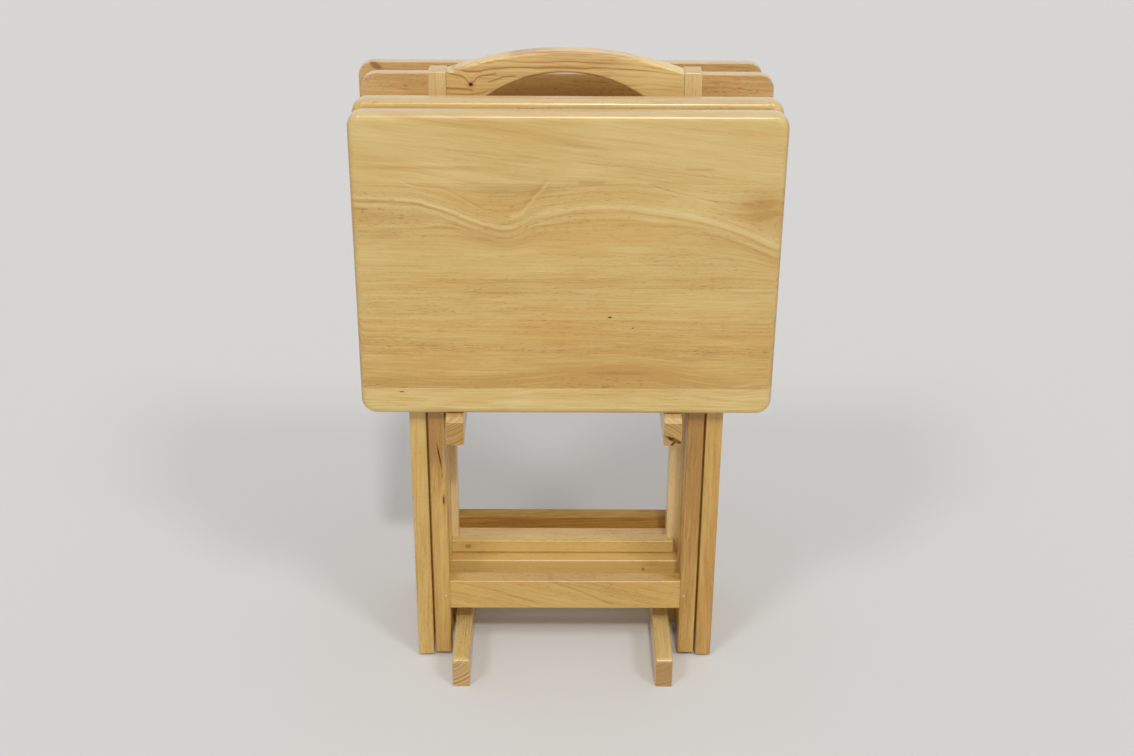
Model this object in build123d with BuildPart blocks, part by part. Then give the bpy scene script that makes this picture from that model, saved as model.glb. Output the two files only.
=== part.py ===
from build123d import *
import os
from math import asin, tan

os.makedirs("parts", exist_ok=True)

# Serving tops
top_width = 482.6
top_length = 368.3
top_thickness = 19.0
top_corner = 18.0
top_round = 9.0
underside_round = 1.5
top_overhang = 95.8

# Legs, as seen from above: width across the table, depth front to back
leg_width = 20.0
leg_depth = 25.0
leg_gap = 2.4
leg_round = 2.0
leg_lift = 3.5
foot_facet = 3.2

# Fold: where the hinge and the catch sit on a top, and the height of the scissor bolt
hinge_inset = 50.0
catch_inset = 45.0
pivot_height = 358.0
underside_gap = 1.5

# Crossbar, stretcher and small timber of a table
bar_radius = 8.0
bar_socket = 12.0
bar_end_gap = 0.5
stretcher_thickness = 21.0
stretcher_height = 41.4
stretcher_bottom = 72.6
tenon_length = 10.0
tenon_cheek = 3.5
tenon_shoulder = 6.0
tenon_end_gap = 0.5
tenon_fit = 0.1
cleat_width = 14.0
cleat_length = 40.0
cleat_corner = 10.0
cleat_gap = 1.0
cleat_setback = 2.5
catch_length = 200.0
catch_wall = 6.0
catch_fit = 0.3

# Fasteners
pivot_radius = 3.0
pivot_head = 7.0
hinge_radius = 3.5
hinge_head = 6.5
head_height = 4.0
head_recess = 4.5
head_fit = 0.3
nut_height = 3.0
nut_gap = 0.1
bolt_end_gap = 0.5
washer_rim = 3.0
washer_gap = 0.2
socket_width = 4.0
pin_radius = 1.5
running_fit = 0.06

# Stand
post_width = 20.5
post_depth = 25.5
post_height = 750.0
post_round = 2.0
arm_top = 363.0
arm_width = 21.5
arm_height = 34.5
arm_bevel = 5.0
arm_nose = 10.6
arm_clearance = 6.0
arm_housing = 5.0
foot_width = 21.5
foot_height = 41.0
foot_length = 307.0
foot_nose = 7.0
foot_housing = 3.3
rail_thickness = 17.0
rail_height = 17.5
rail_inlet = 7.0
rail_gap = 1.2
rail_end_gap = 3.0
rail_round = 1.5
handle_thickness = 22.0
handle_drop = 0.5
handle_rise = 24.0
handle_depth = 60.0
handle_shank = 14.0
handle_round = 3.5
handle_tenon_thickness = 10.0
handle_tenon_height = 40.0
grip_height = 25.0

# Spacing of the stack; a slip is the share of the arm clearance that a table has moved sideways
rest_gap = 0.4
post_gap = 4.0
stack_gap = 2.4
slip_right = 0.5
slip_left = 0.8

half_depth = leg_depth / 2
inner_leg_face = top_width / 2 - top_overhang
underside = half_depth + underside_gap
outer_leg_face = inner_leg_face + leg_width + leg_gap
cleat_face = outer_leg_face + leg_width + cleat_gap
top_bottom = arm_top + rest_gap
hinge_height = top_bottom + top_length - hinge_inset
catch_height = top_bottom + catch_inset
fold_travel = top_length - hinge_inset - catch_inset
fold_angle = asin(fold_travel / 2 / (hinge_height - pivot_height))
near_place = post_depth / 2 + post_gap + half_depth
place_pitch = leg_depth + underside_gap + top_thickness + stack_gap
arm_reach = near_place + place_pitch + underside + top_thickness + arm_nose
arm_face = inner_leg_face - arm_clearance
post_face = arm_face - arm_housing
post_middle = post_face + post_width / 2
foot_face = post_face + foot_housing
rail_bottom = stretcher_bottom + stretcher_height + rail_gap
rail_half = inner_leg_face - rail_end_gap
rail_back = rail_inlet - post_depth / 2
handle_shoulder = post_height - handle_drop
handle_top = handle_shoulder + handle_rise
handle_bottom = handle_shoulder - handle_depth
stretcher_middle = stretcher_bottom + stretcher_height / 2
tenon_thickness = stretcher_thickness - 2 * tenon_cheek
tenon_height = stretcher_height - 2 * tenon_shoulder


def outline_edges(body, axis):
    ends = body.faces().sort_by(axis)
    return ends[0].edges() + ends[-1].edges()


def save(part, name):
    part.label = name
    export_step(part, f"parts/{name}.step")


def make_top():
    with BuildPart() as board:
        with BuildSketch(Plane.XZ.offset(underside)):
            with Locations((0, top_bottom + top_length / 2)):
                RectangleRounded(top_width, top_length, top_corner)
        extrude(amount=top_thickness)
        fillet(board.faces().sort_by(Axis.Y)[0].edges(), top_round)
        fillet(board.faces().sort_by(Axis.Y)[-1].edges(), underside_round)
    return board.part


def leg_blank(back):
    foot_run = foot_facet / tan(fold_angle)
    with BuildPart() as leg:
        with BuildSketch(Plane.YZ):
            with BuildLine():
                Polyline(
                    (-back * half_depth, leg_lift),
                    (back * (half_depth - foot_run), leg_lift),
                    (back * half_depth, leg_lift + foot_facet),
                    (back * half_depth, hinge_height),
                )
                ThreePointArc(
                    (back * half_depth, hinge_height),
                    (0, hinge_height + half_depth),
                    (-back * half_depth, hinge_height),
                )
                Line((-back * half_depth, hinge_height), (-back * half_depth, leg_lift))
            make_face()
        extrude(amount=leg_width / 2, both=True)
        fillet(outline_edges(leg, Axis.X), leg_round)
    return leg.part


def make_outer_leg(side):
    middle = outer_leg_face + leg_width / 2
    with BuildPart() as leg:
        with Locations((side * middle, 0, 0)):
            add(leg_blank(1))
        with BuildSketch(Plane.YZ.offset(side * outer_leg_face)):
            with Locations((0, pivot_height)):
                Circle(pivot_radius + running_fit)
            with Locations((0, hinge_height)):
                Circle(hinge_radius + running_fit)
        extrude(amount=side * leg_width, mode=Mode.SUBTRACT)
        with BuildSketch(Plane.YZ.offset(side * (outer_leg_face + leg_width - head_recess))):
            with Locations((0, pivot_height)):
                Circle(pivot_head + head_fit)
        extrude(amount=side * head_recess, mode=Mode.SUBTRACT)
    return leg.part


def make_inner_leg(side):
    middle = inner_leg_face + leg_width / 2
    with BuildPart() as leg:
        with Locations((side * middle, 0, 0)):
            add(leg_blank(-1))
        with BuildSketch(Plane.YZ.offset(side * inner_leg_face)):
            with Locations((0, pivot_height)):
                Circle(pivot_radius + running_fit)
        extrude(amount=side * leg_width, mode=Mode.SUBTRACT)
        with BuildSketch(Plane.YZ.offset(side * inner_leg_face)):
            with Locations((0, pivot_height)):
                Circle(pivot_head + head_fit)
        extrude(amount=side * head_recess, mode=Mode.SUBTRACT)
        with BuildSketch(Plane.YZ.offset(side * inner_leg_face)):
            with Locations((0, hinge_height)):
                Circle(bar_radius + running_fit)
        extrude(amount=side * bar_socket, mode=Mode.SUBTRACT)
        with BuildSketch(Plane.YZ.offset(side * inner_leg_face)):
            with Locations((0, stretcher_middle)):
                Rectangle(tenon_thickness + 2 * tenon_fit, tenon_height + 2 * tenon_fit)
        extrude(amount=side * (tenon_length + tenon_end_gap), mode=Mode.SUBTRACT)
        with BuildSketch(Plane.XZ.offset(-half_depth)):
            with Locations((side * (inner_leg_face + tenon_length / 2), stretcher_middle)):
                Circle(pin_radius + running_fit)
        extrude(amount=leg_depth, mode=Mode.SUBTRACT)
    return leg.part


def make_stretcher():
    pin_place = inner_leg_face + tenon_length / 2
    with BuildPart() as stretcher:
        with Locations((0, 0, stretcher_middle)):
            Box(2 * inner_leg_face, stretcher_thickness, stretcher_height)
        fillet(stretcher.edges().filter_by(Axis.X), leg_round)
        with Locations((0, 0, stretcher_middle)):
            Box(2 * (inner_leg_face + tenon_length), tenon_thickness, tenon_height)
        with BuildSketch(Plane.XZ.offset(-half_depth)):
            with Locations((-pin_place, stretcher_middle), (pin_place, stretcher_middle)):
                Circle(pin_radius + running_fit)
        extrude(amount=leg_depth, mode=Mode.SUBTRACT)
    return stretcher.part


def make_stretcher_pins():
    pin_place = inner_leg_face + tenon_length / 2
    with BuildPart() as pins:
        with BuildSketch(Plane.XZ.offset(-half_depth)):
            with Locations((-pin_place, stretcher_middle), (pin_place, stretcher_middle)):
                Circle(pin_radius)
        extrude(amount=leg_depth)
    return pins.part


def make_crossbar():
    half = inner_leg_face + bar_socket - bar_end_gap
    with BuildPart() as bar:
        with BuildSketch(Plane.YZ.offset(-half)):
            with Locations((0, hinge_height)):
                Circle(bar_radius)
        extrude(amount=2 * half)
    return bar.part


def make_cleat(side):
    cleat_depth = underside + half_depth - cleat_setback
    with BuildPart() as cleat:
        with BuildSketch(Plane.YZ.offset(side * cleat_face)):
            with Locations((-underside, hinge_height)):
                Rectangle(cleat_depth, cleat_length, align=(Align.MIN, Align.CENTER))
        extrude(amount=side * cleat_width)
        fillet(cleat.faces().sort_by(Axis.Y)[-1].edges().filter_by(Axis.X), cleat_corner)
        with BuildSketch(Plane.YZ.offset(side * cleat_face)):
            with Locations((0, hinge_height)):
                Circle(hinge_radius + running_fit)
        extrude(amount=side * cleat_width, mode=Mode.SUBTRACT)
        with BuildSketch(Plane.YZ.offset(side * (cleat_face + cleat_width - head_recess))):
            with Locations((0, hinge_height)):
                Circle(hinge_head + running_fit)
        extrude(amount=side * head_recess, mode=Mode.SUBTRACT)
    return cleat.part


def make_catch():
    slot = bar_radius + catch_fit
    lip = half_depth
    flange_top = catch_height + 2 * slot
    with BuildPart() as catch:
        with BuildSketch(Plane.YZ):
            with BuildLine():
                Polyline(
                    (-underside, catch_height - slot - catch_wall),
                    (lip, catch_height - slot - catch_wall),
                    (lip, catch_height + slot),
                    (slot, catch_height + slot),
                    (slot, catch_height),
                )
                ThreePointArc((slot, catch_height), (0, catch_height - slot), (-slot, catch_height))
                Polyline(
                    (-slot, catch_height),
                    (-slot, flange_top),
                    (-underside, flange_top),
                    (-underside, catch_height - slot - catch_wall),
                )
            make_face()
        extrude(amount=catch_length / 2, both=True)
    return catch.part


def make_pivot_bolts():
    outside = outer_leg_face + leg_width - head_recess
    inside = inner_leg_face + head_recess
    bolt_end = inner_leg_face + bolt_end_gap
    with BuildPart() as bolts:
        for side in (-1, 1):
            with BuildSketch(Plane.YZ.offset(side * bolt_end)):
                with Locations((0, pivot_height)):
                    Circle(pivot_radius)
            extrude(amount=side * (outside - bolt_end))
            with BuildSketch(Plane.YZ.offset(side * outside)):
                with Locations((0, pivot_height)):
                    Circle(pivot_head)
            extrude(amount=side * head_height)
            with BuildSketch(Plane.YZ.offset(side * (outside + head_height))):
                with Locations((0, pivot_height)):
                    RegularPolygon(socket_width / 2, 6, major_radius=False)
            extrude(amount=-side * head_height / 2, mode=Mode.SUBTRACT)
            with BuildSketch(Plane.YZ.offset(side * (inner_leg_face + leg_width + washer_gap))):
                with Locations((0, pivot_height)):
                    Circle(half_depth - washer_rim)
                    Circle(pivot_radius + running_fit, mode=Mode.SUBTRACT)
            extrude(amount=side * (leg_gap - 2 * washer_gap))
            with BuildSketch(Plane.YZ.offset(side * (inside - nut_gap))):
                with Locations((0, pivot_height)):
                    RegularPolygon(pivot_head, 6)
                    Circle(pivot_radius + running_fit, mode=Mode.SUBTRACT)
            extrude(amount=-side * nut_height)
    return bolts.part


def make_hinge_bolts():
    seat = cleat_face + cleat_width - head_recess
    with BuildPart() as bolts:
        for side in (-1, 1):
            with BuildSketch(Plane.YZ.offset(side * cleat_face)):
                with Locations((0, hinge_height)):
                    Circle(hinge_radius)
            extrude(amount=side * (cleat_width - head_recess))
            with BuildSketch(Plane.YZ.offset(side * seat)):
                with Locations((0, hinge_height)):
                    Circle(hinge_head)
            extrude(amount=side * head_height)
            with BuildSketch(Plane.YZ.offset(side * (seat + head_height))):
                with Locations((0, hinge_height)):
                    RegularPolygon(socket_width / 2, 6, major_radius=False)
            extrude(amount=-side * head_height / 2, mode=Mode.SUBTRACT)
    return bolts.part


def make_post(side):
    mortise_middle = (handle_bottom + handle_shoulder) / 2
    mortise_depth = tenon_length + tenon_end_gap
    mortise_width = handle_tenon_thickness + 2 * tenon_fit
    mortise_height = handle_tenon_height + 2 * tenon_fit
    mortise_place = side * (post_face + mortise_depth / 2)
    inlet_place = side * (post_face + rail_half) / 2
    with BuildPart() as post:
        with Locations((side * post_middle, 0, post_height / 2)):
            Box(post_width, post_depth, post_height)
        fillet(outline_edges(post, Axis.Z) + post.edges().filter_by(Axis.Z), post_round)
        with Locations((side * (post_face + arm_housing / 2), 0, arm_top - arm_height / 2)):
            Box(arm_housing, post_depth, arm_height, mode=Mode.SUBTRACT)
        with Locations((side * (post_face + foot_housing / 2), 0, foot_height / 2)):
            Box(foot_housing, post_depth, foot_height, mode=Mode.SUBTRACT)
        with Locations((inlet_place, rail_back - rail_inlet / 2, rail_bottom + rail_height / 2)):
            Box(rail_half - post_face, rail_inlet, rail_height, mode=Mode.SUBTRACT)
        with Locations((mortise_place, handle_thickness / 2 - post_depth / 2, mortise_middle)):
            Box(mortise_depth, mortise_width, mortise_height, mode=Mode.SUBTRACT)
    return post.part


def make_arm(side):
    with BuildPart() as arm:
        with BuildSketch(Plane.YZ.offset(side * arm_face)) as outline:
            with Locations((0, arm_top - arm_height / 2)):
                Rectangle(2 * arm_reach, arm_height)
            chamfer(outline.vertices().group_by(Axis.Y)[-1], arm_bevel)
        extrude(amount=-side * arm_width)
        fillet(outline_edges(arm, Axis.X), post_round)
    return arm.part


def make_foot(side):
    with BuildPart() as foot:
        with BuildSketch(Plane.YZ.offset(side * foot_face)) as outline:
            with Locations((0, foot_height / 2)):
                Rectangle(foot_length, foot_height)
            fillet(outline.vertices().group_by(Axis.Y)[-1], foot_nose)
        extrude(amount=-side * foot_width)
        fillet(outline_edges(foot, Axis.X), post_round)
    return foot.part


def make_handle():
    crown = handle_top - grip_height
    grip_half = post_face - handle_shank
    with BuildPart() as handle:
        with BuildSketch(Plane.XZ.offset(post_depth / 2)):
            with BuildLine():
                ThreePointArc((-post_face, handle_shoulder), (0, handle_top), (post_face, handle_shoulder))
                Polyline(
                    (post_face, handle_shoulder),
                    (post_face, handle_bottom),
                    (grip_half, handle_bottom),
                )
                ThreePointArc((grip_half, handle_bottom), (0, crown), (-grip_half, handle_bottom))
                Polyline(
                    (-grip_half, handle_bottom),
                    (-post_face, handle_bottom),
                    (-post_face, handle_shoulder),
                )
            make_face()
        extrude(amount=-handle_thickness)
        fillet(handle.edges().filter_by(GeomType.CIRCLE), handle_round)
        with Locations((0, handle_thickness / 2 - post_depth / 2, (handle_bottom + handle_shoulder) / 2)):
            with Locations((-post_face - tenon_length / 2, 0, 0), (post_face + tenon_length / 2, 0, 0)):
                Box(tenon_length, handle_tenon_thickness, handle_tenon_height)
    return handle.part


def make_rail():
    with BuildPart() as rail:
        with Locations((0, rail_back - rail_thickness / 2, rail_bottom + rail_height / 2)):
            Box(2 * rail_half, rail_thickness, rail_height)
        fillet(rail.edges().filter_by(Axis.X), rail_round)
    return rail.part


for side, hand in ((-1, "left"), (1, "right")):
    save(make_post(side), f"post_{hand}")
    save(make_arm(side), f"arm_{hand}")
    save(make_foot(side), f"foot_{hand}")
save(make_handle(), "handle")
save(make_rail(), "rail")

table_pieces = {
    "top": make_top(),
    "cleat_left": make_cleat(-1),
    "cleat_right": make_cleat(1),
    "hinge_bolts": make_hinge_bolts(),
    "catch": make_catch(),
    "outer_leg_left": make_outer_leg(-1),
    "outer_leg_right": make_outer_leg(1),
    "inner_leg_left": make_inner_leg(-1),
    "inner_leg_right": make_inner_leg(1),
    "stretcher": make_stretcher(),
    "stretcher_pins": make_stretcher_pins(),
    "crossbar": make_crossbar(),
    "pivot_bolts": make_pivot_bolts(),
}

# Two tables hang in front of the posts and two behind; the outermost rear one has slipped to the left
far_place = near_place + place_pitch
hang_right = slip_right * arm_clearance
hang_left = -slip_left * arm_clearance
hang_spots = (
    Location((hang_right, -far_place, 0)),
    Location((hang_right, -near_place, 0)),
    Location((hang_right, near_place, 0), (0, 0, 180)),
    Location((hang_left, far_place, 0), (0, 0, 180)),
)
for number, spot in enumerate(hang_spots, 1):
    for name, piece in table_pieces.items():
        with BuildPart() as hung:
            with Locations(spot):
                add(piece)
        save(hung.part, f"{name}_{number}")
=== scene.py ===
import math
import random
from types import SimpleNamespace

import bmesh
import bpy
from mathutils import Matrix, Vector


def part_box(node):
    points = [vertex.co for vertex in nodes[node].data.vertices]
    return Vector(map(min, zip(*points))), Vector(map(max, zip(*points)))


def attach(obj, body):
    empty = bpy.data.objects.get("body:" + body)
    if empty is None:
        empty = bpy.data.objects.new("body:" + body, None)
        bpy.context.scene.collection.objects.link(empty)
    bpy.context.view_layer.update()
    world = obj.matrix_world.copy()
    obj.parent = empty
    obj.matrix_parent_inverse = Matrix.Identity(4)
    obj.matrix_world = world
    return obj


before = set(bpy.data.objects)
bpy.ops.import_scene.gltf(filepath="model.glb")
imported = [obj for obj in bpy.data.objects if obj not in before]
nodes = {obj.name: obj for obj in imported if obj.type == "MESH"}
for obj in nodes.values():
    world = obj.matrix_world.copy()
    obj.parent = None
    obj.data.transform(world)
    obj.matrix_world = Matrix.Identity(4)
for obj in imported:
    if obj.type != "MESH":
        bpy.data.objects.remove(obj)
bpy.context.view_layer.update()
mm = 0.001
print("frame loaded:", len(nodes), "pieces of timber and steel")


def paint(red, green, blue):
    # screen colour to the linear one that the shader wants
    def linear(value):
        value /= 255
        return value / 12.92 if value <= 0.04045 else ((value + 0.055) / 1.055) ** 2.4
    return (linear(red), linear(green), linear(blue), 1.0)


class Socket:
    def __init__(self, tree, end=None):
        self.tree = tree
        self.end = end

    def node(self, kind, settings=None, feeds=None, out=0):
        made = self.tree.nodes.new(kind)
        for key, value in (settings or {}).items():
            if key == "stops":
                ramp = made.color_ramp
                while len(ramp.elements) < len(value):
                    ramp.elements.new(0.5)
                for stop, (place, colour) in zip(ramp.elements, value):
                    stop.position = place
                    stop.color = colour
            elif key == "points":
                line = made.mapping.curves[0].points
                line[0].location = value[0]
                line[1].location = value[-1]
                for place in value[1:-1]:
                    line.new(*place)
                made.mapping.update()
            else:
                setattr(made, key, value)
        for key, value in (feeds or {}).items():
            if isinstance(value, Socket):
                self.tree.links.new(value.end, made.inputs[key])
            else:
                made.inputs[key].default_value = value
        return Socket(self.tree, made.outputs[out] if made.outputs else None)

    def maths(self, operation, first, second=0.0):
        return self.node("ShaderNodeMath", {"operation": operation}, {0: first, 1: second})

    def __add__(self, other):
        return self.maths("ADD", self, other)

    def __radd__(self, other):
        return self.maths("ADD", other, self)

    def __sub__(self, other):
        return self.maths("SUBTRACT", self, other)

    def __rsub__(self, other):
        return self.maths("SUBTRACT", other, self)

    def __mul__(self, other):
        return self.maths("MULTIPLY", self, other)

    def __rmul__(self, other):
        return self.maths("MULTIPLY", other, self)

    def __truediv__(self, other):
        return self.maths("DIVIDE", self, other)

    def __rtruediv__(self, other):
        return self.maths("DIVIDE", other, self)


def smooth(value, low, high):
    feeds = {"Value": value, "From Min": low, "From Max": high}
    return value.node("ShaderNodeMapRange", {"interpolation_type": "SMOOTHSTEP"}, feeds)


def bell(value):
    return value.maths("EXPONENT", 0 - value * value)


def swing(noise):
    # noise about zero
    return noise - 0.5


def part(vector, place):
    return vector.node("ShaderNodeSeparateXYZ", feeds={0: vector}, out=place)


def blendColour(mask, under, over, how="MIX"):
    # sockets 6 and 7 of a Mix node are its colours, and output 2 is the mixed one
    settings = {"data_type": "RGBA", "blend_type": how}
    return mask.node("ShaderNodeMix", settings, {0: mask, 6: under, 7: over}, 2)


def newMaterial(name):
    material = bpy.data.materials.new(name)
    material.use_nodes = True
    material.node_tree.nodes.clear()
    return material, Socket(material.node_tree)


def dress(node, material):
    mesh = nodes[node].data
    mesh.materials.clear()
    mesh.materials.append(material)


# Timber: a pale, fine-pored hardwood under satin lacquer, sizes in mm
timberLook = {
    # waves per metre along and across the grain, and layers of detail
    "swayWaves": (2.2, 7, 2),
    "fibreWaves": (9, 360, 4),
    "streakWaves": (26, 520, 2),
    "patchWaves": (5, 20, 2),
    "dashWaves": (130, 1100, 1),
    "blushWaves": (6, 34, 2),
    "peelWaves": (40, 60, 2),
    "waveRoughness": 0.55,
    "ringsPerMetre": 190.0,
    "ringDetail": 2.5,
    "ringRoughness": 0.6,
    "sway": 14,
    # what is drawn by chance for each piece and each of its strips
    "shiftRange": (-9, 9),
    "pithSpread": 30,
    "pithDepth": (20, 60),
    "driftRange": (-0.05, 0.05),
    "toneRange": (-0.12, 0.12),
    "porousRange": (0.5, 1.0),
    "jumpRange": (-3, 3),
    # how strongly each part of the figure shows
    "ringShare": 0.5,
    "lineShare": 0.0,
    "fibreShare": 0.7,
    "streakShare": 0.8,
    "patchShare": 0.6,
    "warmShare": 0.3,
    "poreShare": 0.75,
    "poreFloor": 0.3,
    "seamShare": 0.2,
    "seamWidth": 0.5,
    "endShare": 0.5,
    "haloShare": 0.35,
    "knotRagged": 0.8,
    # where each blend starts and where it is full
    "lineBlend": (0.52, 0.72),
    "dashBlend": (0.58, 0.72),
    "bandBlend": (0.75, 1.25),
    "warmBlend": (0.45, 0.7),
    "faceBlend": (0.2, 0.8),
    "endBlend": (0.5, 0.95),
    "endRingBlend": (0.4, 0.66),
    "paintedSheenBlend": (0.55, 1.0),
    "haloBlend": (2.6, 0.8),
    "coreBlend": (1.1, 0.45),
    "toneStops": (0.1, 0.5, 0.95),
    "pore": paint(140, 94, 46),
    "knot": paint(86, 40, 8),
    "warm": paint(203, 156, 80),
    "endGrain": paint(176, 130, 62),
    # surface
    "roughness": 0.45,
    "fibreRoughness": 0.16,
    "poreRoughness": 0.14,
    "endRoughness": 0.12,
    "fibreRelief": 0.25,
    "peelRelief": 0.8,
    "poreRelief": 0.5,
    "bump": 0.2,
    "bumpDepth": 0.3,
    "ior": 1.48,
    "gloss": 0.2,
    "coat": 0.85,
    "coatRoughness": 0.24,
}
axisOrder = {"x": (0, 2, 1), "y": (1, 0, 2), "z": (2, 0, 1)}  # along the grain, across and through
lineFade = 0.12  # share of a traced line that fades at each end


def stepped(steps, values):
    # one value for each glued strip of a board
    total = values[0]
    for step, before, after in zip(steps, values, values[1:]):
        total = step * (after - before) + total
    return total


def tracedLine(along, path):
    # level of a grain line at each place along the board, and a mask that fades at its ends
    places = [place for place, level in path]
    levels = [level for place, level in path]
    low, rise = min(levels), max(max(levels) - min(levels), 1.0)
    span = places[-1] - places[0]
    points = [((place - places[0]) / span, (level - low) / rise) for place, level in path]
    run = (along - places[0] * mm) / (span * mm)
    curve = along.node("ShaderNodeFloatCurve", {"points": points}, {"Value": run})
    return curve * (rise * mm) + low * mm, smooth(run, 0.0, lineFade) * smooth(run, 1.0, 1 - lineFade)


def cutStrips(node, look):
    # each glued strip of a board is cut from another place of the tree
    draw = random.Random(node)
    wood = SimpleNamespace(order=axisOrder[look["grain"]])
    low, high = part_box(node)
    wood.middle = (low + high) / 2
    wood.seams = [line * mm for line in look.get("glue", [])]
    edges = [low[wood.order[1]]] + wood.seams + [high[wood.order[1]]]
    strips = list(zip(edges, edges[1:]))
    spread = look["pithSpread"] * mm
    depth = wood.middle[wood.order[2]]
    wood.shift = [draw.uniform(*look["shiftRange"]) for _ in range(3)]
    wood.pithAcross = [(below + above) / 2 + draw.uniform(-spread, spread) for below, above in strips]
    wood.pithThrough = [
        depth + draw.choice((-1, 1)) * draw.uniform(*look["pithDepth"]) * mm for _ in strips]
    wood.drift = look.get("drift") or [draw.uniform(*look["driftRange"]) for _ in strips]
    wood.tone = look.get("tone") or [draw.uniform(*look["toneRange"]) for _ in strips]
    wood.porous = look.get("porous") or [draw.uniform(*look["porousRange"]) for _ in strips]
    wood.warmth = look.get("warmth") or [0.0] * len(strips)
    wood.fine = look.get("fine") or [1.0] * len(strips)
    wood.jump = [draw.uniform(*look["jumpRange"]) for _ in strips]
    return wood


def grainNoise(wood, look, waves, vector, out=0):
    along, across, detail = look[waves]
    scale = [across] * 3
    scale[wood.order[0]] = along
    feeds = {"Vector": vector, "Scale": scale, "Location": wood.shift}
    placed = vector.node("ShaderNodeMapping", feeds=feeds)
    feeds = {"Vector": placed, "Scale": 1.0, "Detail": detail, "Roughness": look["waveRoughness"]}
    return vector.node("ShaderNodeTexNoise", feeds=feeds, out=out)


def layGrain(start, wood, look):
    wood.point = start.node("ShaderNodeTexCoord", out="Object")
    wood.along, wood.across, through = (part(wood.point, place) for place in wood.order)
    wood.steps = [start.maths("GREATER_THAN", wood.across, seam) for seam in wood.seams]

    # traced grain lines: marks beside each, and a pull that bends the grain along it
    pulled = wood.across
    wood.marks = stepped(wood.steps, wood.tone) + look["toneStops"][1]
    for line in look.get("lines", []):
        level, ends = tracedLine(wood.along, line["path"])
        gap = wood.across - level
        for offset, width, amount in line["marks"]:
            wood.marks = bell((gap - offset * mm) / (width * mm)) * ends * amount + wood.marks
        if "pull" in line:
            rest = sum(spot[1] for spot in line["path"]) / len(line["path"])
            pulled = pulled - bell(gap / (line["pull"] * mm)) * ends * (level - rest * mm)

    # growth rings round each strip's own pith
    sway = grainNoise(wood, look, "swayWaves", wood.point, 1)
    lean = (wood.along - wood.middle[wood.order[0]]) * stepped(wood.steps, wood.drift)
    bentAcross = pulled + swing(part(sway, 0)) * (look["sway"] * mm) + lean
    bentThrough = through + swing(part(sway, 1)) * (look["sway"] * mm)
    pithGap = bentAcross - stepped(wood.steps, wood.pithAcross)
    pithDepth = bentThrough - stepped(wood.steps, wood.pithThrough)
    radius = start.maths("SQRT", pithGap * pithGap + pithDepth * pithDepth)
    jump = stepped(wood.steps, wood.jump)
    wood.rings = start.node("ShaderNodeTexNoise", {"noise_dimensions": "1D"}, {
        "W": radius * look["ringsPerMetre"] + jump, "Scale": 1.0,
        "Detail": look["ringDetail"], "Roughness": look["ringRoughness"]})

    # fibres, streaks and pores along the bent grain
    feeds = dict(zip(wood.order, (wood.along + jump, bentAcross, bentThrough)))
    bent = start.node("ShaderNodeCombineXYZ", feeds=feeds)
    wood.fibre = grainNoise(wood, look, "fibreWaves", bent)
    wood.streak = grainNoise(wood, look, "streakWaves", bent)
    wood.patch = grainNoise(wood, look, "patchWaves", bent)
    wood.blush = part(grainNoise(wood, look, "blushWaves", bent, 1), 1)
    wood.peel = grainNoise(wood, look, "peelWaves", wood.point)
    dash = grainNoise(wood, look, "dashWaves", bent)
    least = look["poreFloor"]
    poreBand = smooth(wood.rings + wood.patch, *look["bandBlend"]) * (1 - least) + least
    wood.pores = smooth(dash, *look["dashBlend"]) * poreBand * stepped(wood.steps, wood.porous)


def figureColour(start, wood, look):
    fineGrain = swing(wood.fibre) * look["fibreShare"] + swing(wood.streak) * look["streakShare"]
    ringLines = smooth(wood.rings, *look["lineBlend"]) * look["lineShare"]
    darkness = swing(wood.rings) * look["ringShare"] + ringLines
    darkness = darkness + fineGrain * stepped(wood.steps, wood.fine)
    darkness = darkness + swing(wood.patch) * look["patchShare"] + wood.marks
    for place, level, width, depth, amount, strip in look.get("stainsAndPaintedLight", []):
        blot = bell((wood.along - place * mm) / (width * mm))
        blot = blot * bell((wood.across - level * mm) / (depth * mm)) * amount
        onStrip = [float(number == strip) for number in range(len(wood.seams) + 1)]
        darkness = blot * stepped(wood.steps, onStrip) + darkness
    tones = zip(look["toneStops"], (look["pale"], look["mid"], look["dark"]))
    colour = start.node("ShaderNodeValToRGB", {"stops": list(tones)}, {0: darkness})
    warming = smooth(wood.blush, *look["warmBlend"]) * look["warmShare"]
    colour = blendColour(warming + stepped(wood.steps, wood.warmth), colour, look["warm"])
    colour = blendColour(wood.pores * look["poreShare"], colour, look["pore"])
    for seam in wood.seams:
        glueLine = bell((wood.across - seam) / (look["seamWidth"] * mm))
        colour = blendColour(glueLine * look["seamShare"], colour, look["knot"])
    return colour


def faceColour(start, wood, look, colour):
    normal = start.node("ShaderNodeTexCoord", out="Normal")
    if "face" in look:
        # the serving face of a rear top is yellower than its underside
        served = smooth(part(normal, 1), *look["faceBlend"])
        colour = blendColour(served, colour, look["face"], "MULTIPLY")
    wood.cutEnd = smooth(start.maths("ABSOLUTE", part(normal, wood.order[0])), *look["endBlend"])
    endTone = blendColour(smooth(wood.rings, *look["endRingBlend"]), look["endGrain"], look["pore"])
    colour = blendColour(wood.cutEnd * look["endShare"], colour, endTone)
    if "paintedSheen" in look:
        # painted reflection: faces that point up or down are paled toward a whitish tint, standing in for
        # a pale ceiling seen in the lacquer of each top's long edges
        sheenMask = smooth(start.maths("ABSOLUTE", part(normal, 2)), *look["paintedSheenBlend"])
        colour = blendColour(sheenMask * look["paintedSheenShare"], colour, look["paintedSheen"])
    return colour


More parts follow.
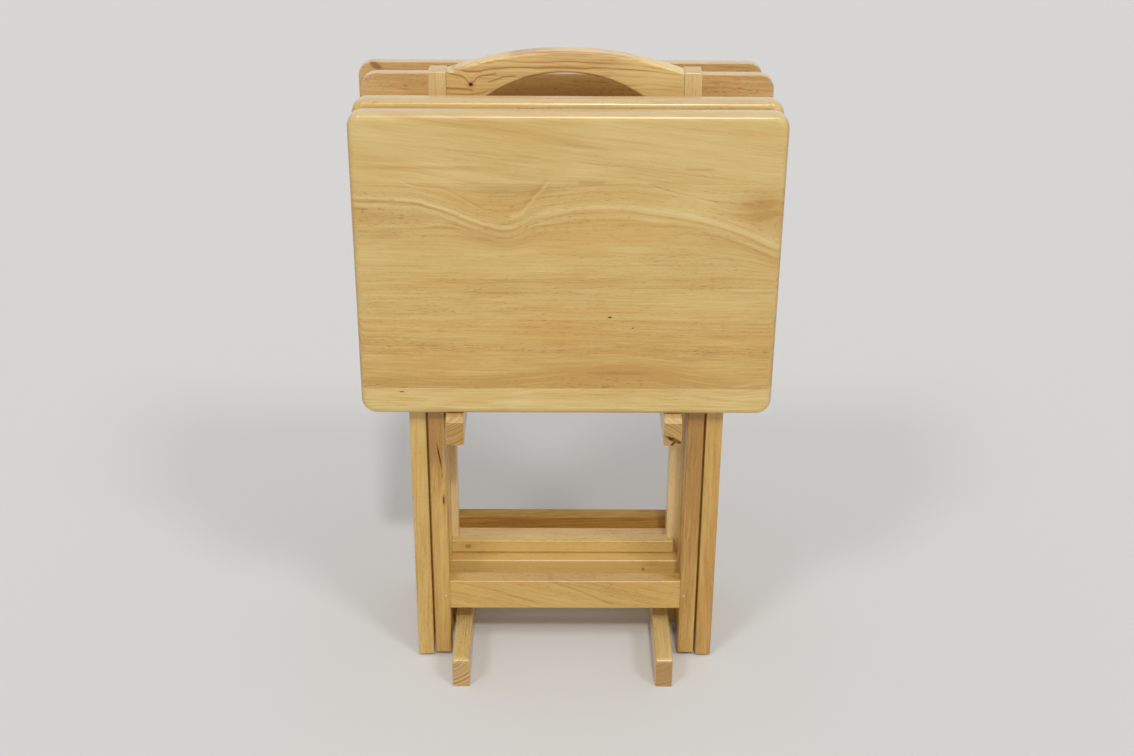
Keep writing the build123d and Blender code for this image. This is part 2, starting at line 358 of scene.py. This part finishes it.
def knotColour(start, wood, look, colour):
    # knots and cracks with a soft halo, where the lacquer is broken
    coat = look["coat"]
    for spot, size, strength, slope in look.get("knots", []):
        away = [part(wood.point, axis) - spot[axis] * mm for axis in range(3)]
        away[2] = away[2] - away[0] * slope
        away = [gap / (reach * mm) for gap, reach in zip(away, size)]
        distance = start.maths("SQRT", away[0] * away[0] + away[1] * away[1] + away[2] * away[2])
        ragged = distance + swing(wood.fibre) * look["knotRagged"]
        halo = smooth(ragged, *look["haloBlend"]) * (strength * look["haloShare"])
        core = smooth(ragged, *look["coreBlend"]) * strength
        colour = blendColour(halo, colour, look["dark"])
        colour = blendColour(core, colour, look["knot"])
        coat = (1 - core) * coat
    return colour, coat


def timber(node, look):
    look = {**timberLook, **look}
    material, start = newMaterial(node + "Wood")
    wood = cutStrips(node, look)
    layGrain(start, wood, look)
    colour = figureColour(start, wood, look)
    colour = faceColour(start, wood, look, colour)
    colour, coat = knotColour(start, wood, look, colour)
    rough = swing(wood.fibre) * look["fibreRoughness"] + wood.pores * look["poreRoughness"]
    rough = rough + wood.cutEnd * look["endRoughness"] + look["roughness"]
    relief = wood.fibre * look["fibreRelief"] + wood.peel * look["peelRelief"]
    relief = relief - wood.pores * look["poreRelief"]
    bumped = start.node("ShaderNodeBump", feeds={
        "Height": relief, "Strength": look["bump"], "Distance": look["bumpDepth"] * mm})
    shader = start.node("ShaderNodeBsdfPrincipled", feeds={
        "Base Color": colour, "Roughness": rough, "Normal": bumped,
        "IOR": look["ior"], "Specular IOR Level": look["gloss"],
        "Coat Weight": coat, "Coat Roughness": look["coatRoughness"]})
    start.node("ShaderNodeOutputMaterial", feeds={0: shader})
    dress(node, material)


# Serving tops: edge-glued strips with the grain across the table, places and sizes in mm
# a mark beside a line is offset, width, amount, and an amount above 0 darkens
# a stain is place along and level across the grain, width, depth, amount, strip; the same list also lays
# a painted highlight on the handle
# a knot is spot, size, strength, slope
topLook = {
    "grain": "x", "pithSpread": 20, "ringShare": 0.32, "sway": 8,
    # the whitish colour below is a painted reflection laid on the up and down faces of each top
    "paintedSheen": paint(200, 178, 150), "paintedSheenShare": 0.45, "pore": paint(142, 90, 36),
    "pale": paint(221, 196, 134), "mid": paint(209, 178, 110), "dark": paint(186, 145, 78),
}
# the rear tops have their undersides to the front
underLook = {
    "pale": paint(220, 185, 127), "mid": paint(206, 167, 109), "dark": paint(176, 131, 76),
    "face": (1.02, 1.13, 0.98, 1.0),
}
# one long wave in the grain of the front top: a dip on the left, an arch on the right
swoop = [
    (-330, 633), (-175, 633), (-152, 628), (-128, 620), (-105, 610), (-86, 604), (-66, 600), (-53, 604),
    (-33, 616), (0, 623), (30, 626), (70, 626), (101, 622), (130, 618), (164, 610), (198, 598),
    (237, 581), (330, 545),
]
swoopDip = swoop[:9]
swoopArch = swoop[7:]
topMarks = {
    1: {
        "glue": [399, 487, 527, 652],
        "tone": [-0.07, 0.14, 0.05, 0.06, -0.02],
        "drift": [0.0, 0.02, 0.0, 0.0, 0.12],
        "porous": [0.3, 0.75, 0.6, 0.6, 0.25],
        "warmth": [0.0, 0.26, 0.1, 0.06, 0.0],
        "fine": [1.3, 1.15, 0.95, 0.8, 0.65],
        "seamShare": 0.08,
        "lines": [
            {"path": swoop, "pull": 26, "marks": [(-20, 9, 0.1), (9, 8, -0.06)]},
            {"path": swoopDip,
             "marks": [(0, 2.2, -0.36), (-4, 1.4, 0.24), (-8.5, 2.2, -0.2), (-13, 1.5, 0.1)]},
            {"path": swoopArch,
             "marks": [(-1, 3.4, -0.34), (-7, 1.6, 0.18), (-12, 2.6, -0.16), (-17, 1.6, 0.12)]},
            {"path": [(-184, 659), (-166, 650), (-138, 647), (-119, 639), (-103, 629), (-88, 622)],
             "marks": [(0, 1.0, 0.3), (-2.5, 1.5, -0.2)]},
            {"path": [(-64, 618), (-50, 620), (-42, 629), (-28, 646), (-18, 656)],
             "marks": [(2, 4, 0.16), (-3.5, 3, -0.3)]},
            {"path": [(89, 653), (121, 643), (150, 636), (176, 629)],
             "marks": [(0, 1.2, 0.26), (-2.5, 1.6, -0.12)]},
            {"path": [(-225, 735), (-135, 722), (-79, 713), (-23, 706), (33, 695), (89, 690), (130, 685)],
             "marks": [(0, 4, 0.18), (-7, 3, -0.1), (9, 1.5, 0.1)]},
            {"path": [(-157, 712), (-79, 704), (-3, 697), (59, 690)], "marks": [(0, 2, 0.12)]},
            {"path": [(-235, 669), (-188, 670), (-130, 670), (-85, 669)],
             "marks": [(0, 2.6, 0.2), (4, 2, -0.12)]},
            {"path": [(130, 671), (147, 669), (166, 671)], "marks": [(0, 1.8, 0.2)]},
            {"path": [(116, 661), (146, 662), (162, 659), (202, 666)], "marks": [(0, 1.0, 0.12)]},
            {"path": [(12, 655), (29, 652), (46, 655)], "marks": [(1, 2.4, 0.26)]},
            {"path": [(-240, 407), (-134, 403), (-81, 404), (-28, 410), (18, 415), (67, 419), (118, 412),
                      (197, 400), (240, 397)],
             "pull": 18, "marks": [(0, 1.8, 0.32), (7, 3, 0.16), (-6, 2, 0.1)]},
        ],
        "stainsAndPaintedLight": [
            (-64, 643, 42, 14, 0.22, 3), (-34, 645, 15, 9, 0.14, 3), (136, 630, 32, 13, -0.3, 3),
            (220, 624, 24, 20, 0.5, 3), (-110, 588, 120, 14, 0.14, 3), (0, 535, 300, 6, 0.16, 3),
            (19, 667, 24, 6, -0.22, 4), (-215, 407, 26, 5, 0.2, 1), (0, 408, 330, 34, 0.24, 1),
            (67, 419, 62, 9, 0.34, 1), (90, 452, 130, 16, 0.06, 1),
        ],
        "knots": [
            ((52, -110, 490.5), (2.4, 9, 1.3), 0.9, 0), ((78.6, -110, 477), (1.6, 6, 1.1), 0.7, 0),
            ((-190, -110, 394), (3.2, 6, 0.9), 0.8, 0), ((67, -110, 419), (44, 9, 3), 0.18, 0),
        ],
    },
    2: {"glue": [425, 540, 612, 690]},
    3: {**underLook, "glue": [440, 501, 590, 668]},
    4: {
        **underLook, "glue": [410, 470, 566, 655], "knot": paint(126, 62, 22),
        "pale": paint(220, 190, 132), "mid": paint(206, 173, 115), "face": (1.03, 1.06, 0.92, 1.0),
        "knots": [
            ((-225, 91, 726.5), (8, 14, 4.8), 0.6, -0.4), ((217.6, 91, 720), (4.5, 10, 3.5), 0.42, 0),
        ],
    },
}
for number, marks in topMarks.items():
    timber(f"top_{number}", {**topLook, **marks})
print("tops finished:", len(topMarks))

# Legs and small timber of the folding frames
tableNumbers = (1, 2, 3, 4)
rearTables = (3, 4)  # these face the other way
legLook = {
    "grain": "z",
    "pale": paint(211, 180, 109), "mid": paint(198, 160, 86), "dark": paint(167, 121, 54),
}
barLook = {**legLook, "grain": "x"}
# some legs are laid darker in broad patches: low near the foot, part way up, and round the knots of the
# inner left leg
legMarks = {
    "outer_leg_left_1": {"tone": [-0.08]},
    "inner_leg_left_1": {
        "tone": [0.12], "warmth": [0.14],
        "stainsAndPaintedLight": [(60, -155, 110, 60, 0.22, 0), (305, -155, 36, 60, 0.3, 0)],
        "knots": [
            ((-150.6, -89, 297), (3.6, 6, 9), 0.9, -5.6), ((-146.5, -89, 234), (1.8, 6, 8), 0.75, 0),
            ((-147.8, -89, 268), (1.2, 6, 4), 0.35, 0),
        ],
    },
    "outer_leg_right_1": {"tone": [0.08], "warmth": [0.1], "stainsAndPaintedLight": [(40, 180, 130, 60, 0.3, 0)]},
    "inner_leg_right_1": {"tone": [0.2], "stainsAndPaintedLight": [(260, 155, 130, 60, 0.2, 0)]},
}
barMarks = {
    "stretcher_1": {
        "tone": [0.02], "drift": [0.24], "sway": 6,
        "ringShare": 0.34, "fibreShare": 0.5, "streakShare": 0.5,
        "lines": [
            {"path": [(-142, 113), (-100, 104), (-60, 91), (-24, 78)],
             "marks": [(0, 1.3, 0.26), (-4, 2, -0.1)]},
            {"path": [(-22, 115), (10, 104), (36, 92), (68, 76)],
             "marks": [(0, 1.3, 0.26), (-4, 2, -0.1)]},
        ],
    },
    "stretcher_2": {"tone": [-0.3], "knots": [((104, -40, 100.6), (2.0, 6, 2.2), 0.6, 0)]},
    # painted shade: a tone of 0.3 darkens the back stretcher, which lies in shade behind the tables in
    # front of it
    "stretcher_4": {"tone": [0.3], "lineShare": 0.4, "coat": 0.1, "roughness": 0.6},
}
for number in tableNumbers:
    for hand in ("left", "right"):
        for leg in (f"outer_leg_{hand}_{number}", f"inner_leg_{hand}_{number}"):
            timber(leg, {**legLook, **legMarks.get(leg, {})})
        timber(f"cleat_{hand}_{number}", legLook)
    for bar in (f"stretcher_{number}", f"crossbar_{number}", f"catch_{number}"):
        timber(bar, {**barLook, **barMarks.get(bar, {})})
print("folding frames finished")

# Stand: posts, bearers, handle and rail
postLook = {
    "grain": "z", "warmShare": 0.15, "poreShare": 0.3,
    "pale": paint(236, 210, 152), "mid": paint(226, 197, 139), "dark": paint(204, 167, 108),
}
bearerLook = {
    "grain": "y", "ringsPerMetre": 330.0, "pithSpread": 50,
    "endGrain": paint(184, 136, 58), "endShare": 0.75,
    "pale": paint(214, 186, 128), "mid": paint(202, 172, 112), "dark": paint(176, 138, 80),
}
# a crack across the front end of the right arm
crackedArm = {
    "knots": [
        ((131, -121, 335.7), (13, 6, 3.6), 1.0, -0.48), ((129.5, -121, 331.2), (4.4, 6, 2.8), 0.95, 1),
    ],
}
armMarks = {"left": {}, "right": crackedArm}
footEnds = {
    "left": {"endGrain": paint(196, 160, 102), "endShare": 0.7},
    "right": {"endGrain": paint(166, 120, 60)},
}
handleLook = {
    **postLook, "grain": "x", "tone": [0.02], "ringShare": 0.4, "sway": 6, "coatRoughness": 0.3,
    "pale": paint(230, 201, 138), "mid": paint(220, 186, 121), "dark": paint(176, 129, 68),
    "lines": [
        {"path": [(-138, 749), (-123, 746), (-116, 744), (-112, 740), (-106, 734)],
         "marks": [(0, 0.9, 0.6)]},
        {"path": [(-109, 734), (-102, 740), (-98, 744), (-89, 746), (-76, 748)],
         "marks": [(0, 0.9, 0.55)]},
        {"path": [(-150, 750), (-120, 752), (-113, 750.4), (-102, 750), (-91, 752), (-76, 753.5),
                  (-48, 755), (-29, 754.4), (-11, 755), (20, 754), (37, 755), (67, 753.5), (91, 752),
                  (113, 749), (150, 745)],
         "marks": [(0, 1.0, 0.5), (-3, 2, -0.12), (2.5, 1.5, 0.12)]},
        {"path": [(-108, 758), (-85, 760.6), (-76, 762.5), (-61, 762), (-48, 761), (-25, 761), (5, 762),
                  (21, 761), (58, 759), (80, 758), (102, 755), (130, 748)],
         "marks": [(0, 1.1, 0.45), (-3, 1.6, -0.12)]},
        {"path": [(-76, 764), (-48, 770.7), (-29, 772), (5, 772), (26, 771), (48, 769), (69, 766),
                  (98, 757)],
         "marks": [(0, 1.3, 0.34)]},
        {"path": [(26, 745), (52, 745.7), (80, 745), (102, 744), (142, 739)], "marks": [(0, 1.2, 0.18)]},
        {"path": [(56, 734), (76, 734.7), (91, 736.5), (108, 735), (142, 731)],
         "marks": [(0, 0.9, 0.22)]},
        {"path": [(66, 729), (92, 730.7), (108, 730), (142, 725)], "marks": [(0, 0.8, 0.25)]},
        {"path": [(-90, 737), (-76, 741.5), (-69, 744), (-54, 745)], "marks": [(0, 1.0, 0.36)]},
        {"path": [(-142, 731), (-118, 730), (-102, 727)], "marks": [(0, 0.9, 0.36)]},
        {"path": [(-142, 725), (-119, 723.5), (-100, 724.5), (-85, 731)], "marks": [(0, 0.9, 0.36)]},
    ],
    # painted highlight: this pale patch on the right shoulder of the handle stands in for a sheen of
    # light on the wood there
    "stainsAndPaintedLight": [(104, 738, 48, 20, -0.36, 0)],
    "knots": [((-107, -13, 735), (3.2, 6, 3), 1.0, 0)],
}
railLook = {
    **barLook, "tone": [-0.32], "coat": 0.5,
    "knots": [((-122, -23, 124.5), (5, 6, 3.4), 0.42, 0)],
}
for hand in ("left", "right"):
    timber(f"post_{hand}", postLook)
    timber(f"arm_{hand}", {**bearerLook, **armMarks[hand]})
    timber(f"foot_{hand}", {**bearerLook, **footEnds[hand]})
timber("handle", handleLook)
timber("rail", railLook)
print("stand finished")

# Bolts and pins: turned steel, dulled a little
steelLook = {
    "bright": paint(206, 204, 198), "dull": paint(150, 147, 140),
    "wearScale": 260.0, "wearDetail": 4.0, "wearBlend": (0.4, 0.7),
    "roughness": 0.3, "wearRoughness": 0.3,
    "turningScale": 2600.0, "turningDetail": 1.0, "bump": 0.1, "bumpDepth": 0.1,
}
pinLook = {**steelLook, "bright": paint(236, 224, 200), "dull": paint(206, 190, 160)}


def steel(name, look):
    material, start = newMaterial(name)
    point = start.node("ShaderNodeTexCoord", out="Object")
    worn = start.node("ShaderNodeTexNoise", feeds={
        "Vector": point, "Scale": look["wearScale"], "Detail": look["wearDetail"]})
    turning = start.node("ShaderNodeTexNoise", feeds={
        "Vector": point, "Scale": look["turningScale"], "Detail": look["turningDetail"]})
    colour = blendColour(smooth(worn, *look["wearBlend"]), look["bright"], look["dull"])
    rough = swing(worn) * look["wearRoughness"] + look["roughness"]
    bumped = start.node("ShaderNodeBump", feeds={
        "Height": turning, "Strength": look["bump"], "Distance": look["bumpDepth"] * mm})
    shader = start.node("ShaderNodeBsdfPrincipled", feeds={
        "Base Color": colour, "Roughness": rough, "Normal": bumped, "Metallic": 1.0})
    start.node("ShaderNodeOutputMaterial", feeds={0: shader})
    return material


boltSteel = steel("boltSteel", steelLook)
pinSteel = steel("pinSteel", pinLook)
for number in tableNumbers:
    dress(f"pivot_bolts_{number}", boltSteel)
    dress(f"hinge_bolts_{number}", boltSteel)
    dress(f"stretcher_pins_{number}", pinSteel)

# Bolt heads: shares of the rise at the straight wall, the bevel and the flat crown
headShape = {"wall": 0.45, "bevelIn": 0.3, "bevelUp": 0.85, "crownIn": 0.8}


def boltHead(mesh, place, outward, look):
    # a turned head on a surface, with a hexagon socket sunk into it
    across = outward.orthogonal().normalized()
    upright = outward.cross(across)
    radius, rise, socket = look["radius"] * mm, look["rise"] * mm, look["socket"] * mm
    sides = look["sides"]
    profile = [
        (radius, 0.0, False),
        (radius, rise * headShape["wall"], False),
        (radius - rise * headShape["bevelIn"], rise * headShape["bevelUp"], False),
        (radius - rise * headShape["crownIn"], rise, False),
        (socket, rise, True),
        (socket, rise - look["depth"] * mm, True),
    ]
    rings = []
    for reach, level, hexagon in profile:
        ring = []
        for step in range(sides):
            angle = 2 * math.pi * step / sides
            stretch = 1 / math.cos(angle % (math.pi / 3) - math.pi / 6) if hexagon else 1.0
            spot = across * math.cos(angle) + upright * math.sin(angle)
            ring.append(mesh.verts.new(place + spot * (reach * stretch) + outward * level))
        rings.append(ring)
    for lower, upper in zip(rings, rings[1:]):
        for step in range(sides):
            after = (step + 1) % sides
            mesh.faces.new((lower[step], lower[after], upper[after], upper[step]))
    mesh.faces.new(rings[-1])
    mesh.faces.new(rings[0][::-1])


def boltSet(name, body, spots, look):
    mesh = bmesh.new()
    for place, outward in spots:
        boltHead(mesh, place, outward, look)
    bmesh.ops.recalc_face_normals(mesh, faces=mesh.faces)
    data = bpy.data.meshes.new(name)
    mesh.to_mesh(data)
    mesh.free()
    data.materials.append(boltSteel)
    piece = bpy.data.objects.new(name, data)
    bpy.context.scene.collection.objects.link(piece)
    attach(piece, body)


# Bolts through the posts into arms and feet, in mm
standBoltLook = {
    "radius": 6.2, "rise": 1.6, "socket": 2.0, "depth": 1.2, "sides": 36,
    "spread": 0.27,  # share of a bearer's height, up and down from its middle
}
standBolts = []
for hand, side in (("left", -1), ("right", 1)):
    low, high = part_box(f"post_{hand}")
    outerFace = low.x if side < 0 else high.x
    for bearer in (f"arm_{hand}", f"foot_{hand}"):
        bottom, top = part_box(bearer)
        for share in (-standBoltLook["spread"], standBoltLook["spread"]):
            level = (bottom.z + top.z) / 2 + share * (top.z - bottom.z)
            standBolts.append((Vector((outerFace, 0, level)), Vector((side, 0, 0))))
boltSet("stand_bolts", "stand", standBolts, standBoltLook)

# Screws that hold each catch to its top, in mm
catchScrewLook = {
    "radius": 3.2, "rise": 0.3, "socket": 1.2, "depth": 1.0, "sides": 24,
    "flange": 5.7, "down": 4.2, "places": (-75, 0, 75),
}
for number in tableNumbers:
    low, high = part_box(f"catch_{number}")
    facing = -1 if number in rearTables else 1
    flange = catchScrewLook["flange"] * mm
    seat = low.y + flange if facing > 0 else high.y - flange
    level = high.z - catchScrewLook["down"] * mm
    spots = []
    for place in catchScrewLook["places"]:
        spots.append((Vector(((low.x + high.x) / 2 + place * mm, seat, level)), Vector((0, facing, 0))))
    boltSet(f"catch_screws_{number}", f"board_{number}", spots, catchScrewLook)
print("fasteners finished")

# Floor, light and camera, in metres and degrees
floorLook = {"size": 40.0, "colour": paint(214, 213, 211), "roughness": 0.75, "gloss": 0.2}
floorMesh = bpy.data.meshes.new("floor")
half = floorLook["size"] / 2
corners = [(-half, -half, 0), (half, -half, 0), (half, half, 0), (-half, half, 0)]
floorMesh.from_pydata(corners, [], [(0, 1, 2, 3)])
floor = bpy.data.objects.new("floor", floorMesh)
bpy.context.scene.collection.objects.link(floor)
floorPaint, floorStart = newMaterial("floorPaint")
floorShader = floorStart.node("ShaderNodeBsdfPrincipled", feeds={
    "Base Color": floorLook["colour"], "Roughness": floorLook["roughness"],
    "Specular IOR Level": floorLook["gloss"]})
floorStart.node("ShaderNodeOutputMaterial", feeds={0: floorShader})
floorMesh.materials.append(floorPaint)

lightLook = {
    "world": 0.5,
    "seen": 0.45,  # added for the camera and for reflections
    "distance": 4,
    "keys": [  # aim, strength, softness, and whether it casts shadows and shines in the lacquer
        ((-0.42, -0.52, 0.74), 0.52, 12.0, True),
        ((0.46, -0.5, 0.73), 0.55, 12.0, True),
        ((0.05, -0.68, 0.73), 0.95, 4.0, True),
        ((0.1, 0.99, 0.08), 0.55, 20.0, False),
    ],
}
world = bpy.data.worlds.new("studio")
bpy.context.scene.world = world
world.use_nodes = True
world.node_tree.nodes.clear()
sky = Socket(world.node_tree)
cameraRay = sky.node("ShaderNodeLightPath", out="Is Camera Ray")
glossyRay = sky.node("ShaderNodeLightPath", out="Is Glossy Ray")
skyStrength = (cameraRay + glossyRay) * lightLook["seen"] + lightLook["world"]
glow = sky.node("ShaderNodeBackground", feeds={"Strength": skyStrength, "Color": (1, 1, 1, 1)})
sky.node("ShaderNodeOutputWorld", feeds={0: glow})
for aim, strength, softness, shadow in lightLook["keys"]:
    lamp = bpy.data.lights.new("key", "SUN")
    lamp.energy = strength
    lamp.angle = math.radians(softness)
    lamp.use_shadow = shadow
    holder = bpy.data.objects.new("key", lamp)
    holder.location = Vector(aim) * lightLook["distance"]
    holder.rotation_euler = Vector(aim).to_track_quat("Z", "Y").to_euler()
    holder.visible_glossy = shadow
    bpy.context.scene.collection.objects.link(holder)

cameraLook = {
    "focalPixels": 1636.3, "width": 1134, "sensor": 36, "yaw": 0.496, "pitch": 26.785, "roll": -0.404,
    "place": (-0.0114, -1.8153, 1.2734),
}
yaw, pitch, roll = (math.radians(cameraLook[key]) for key in ("yaw", "pitch", "roll"))
forward = Vector((math.sin(yaw) * math.cos(pitch), math.cos(yaw) * math.cos(pitch), -math.sin(pitch)))
right = Vector((math.cos(yaw), -math.sin(yaw), 0))
down = forward.cross(right)
rightRolled = right * math.cos(roll) + down * math.sin(roll)
downRolled = down * math.cos(roll) - right * math.sin(roll)
lens = bpy.data.cameras.new("camera")
lens.sensor_width = cameraLook["sensor"]
lens.sensor_fit = "HORIZONTAL"
lens.lens = cameraLook["focalPixels"] * cameraLook["sensor"] / cameraLook["width"]
camera = bpy.data.objects.new("camera", lens)
turn = Matrix((rightRolled, -downRolled, -forward)).transposed().to_4x4()
camera.matrix_world = Matrix.Translation(cameraLook["place"]) @ turn
bpy.context.scene.collection.objects.link(camera)
bpy.context.scene.camera = camera
bpy.context.scene.view_settings.view_transform = "Standard"
print("floor, light and camera finished")
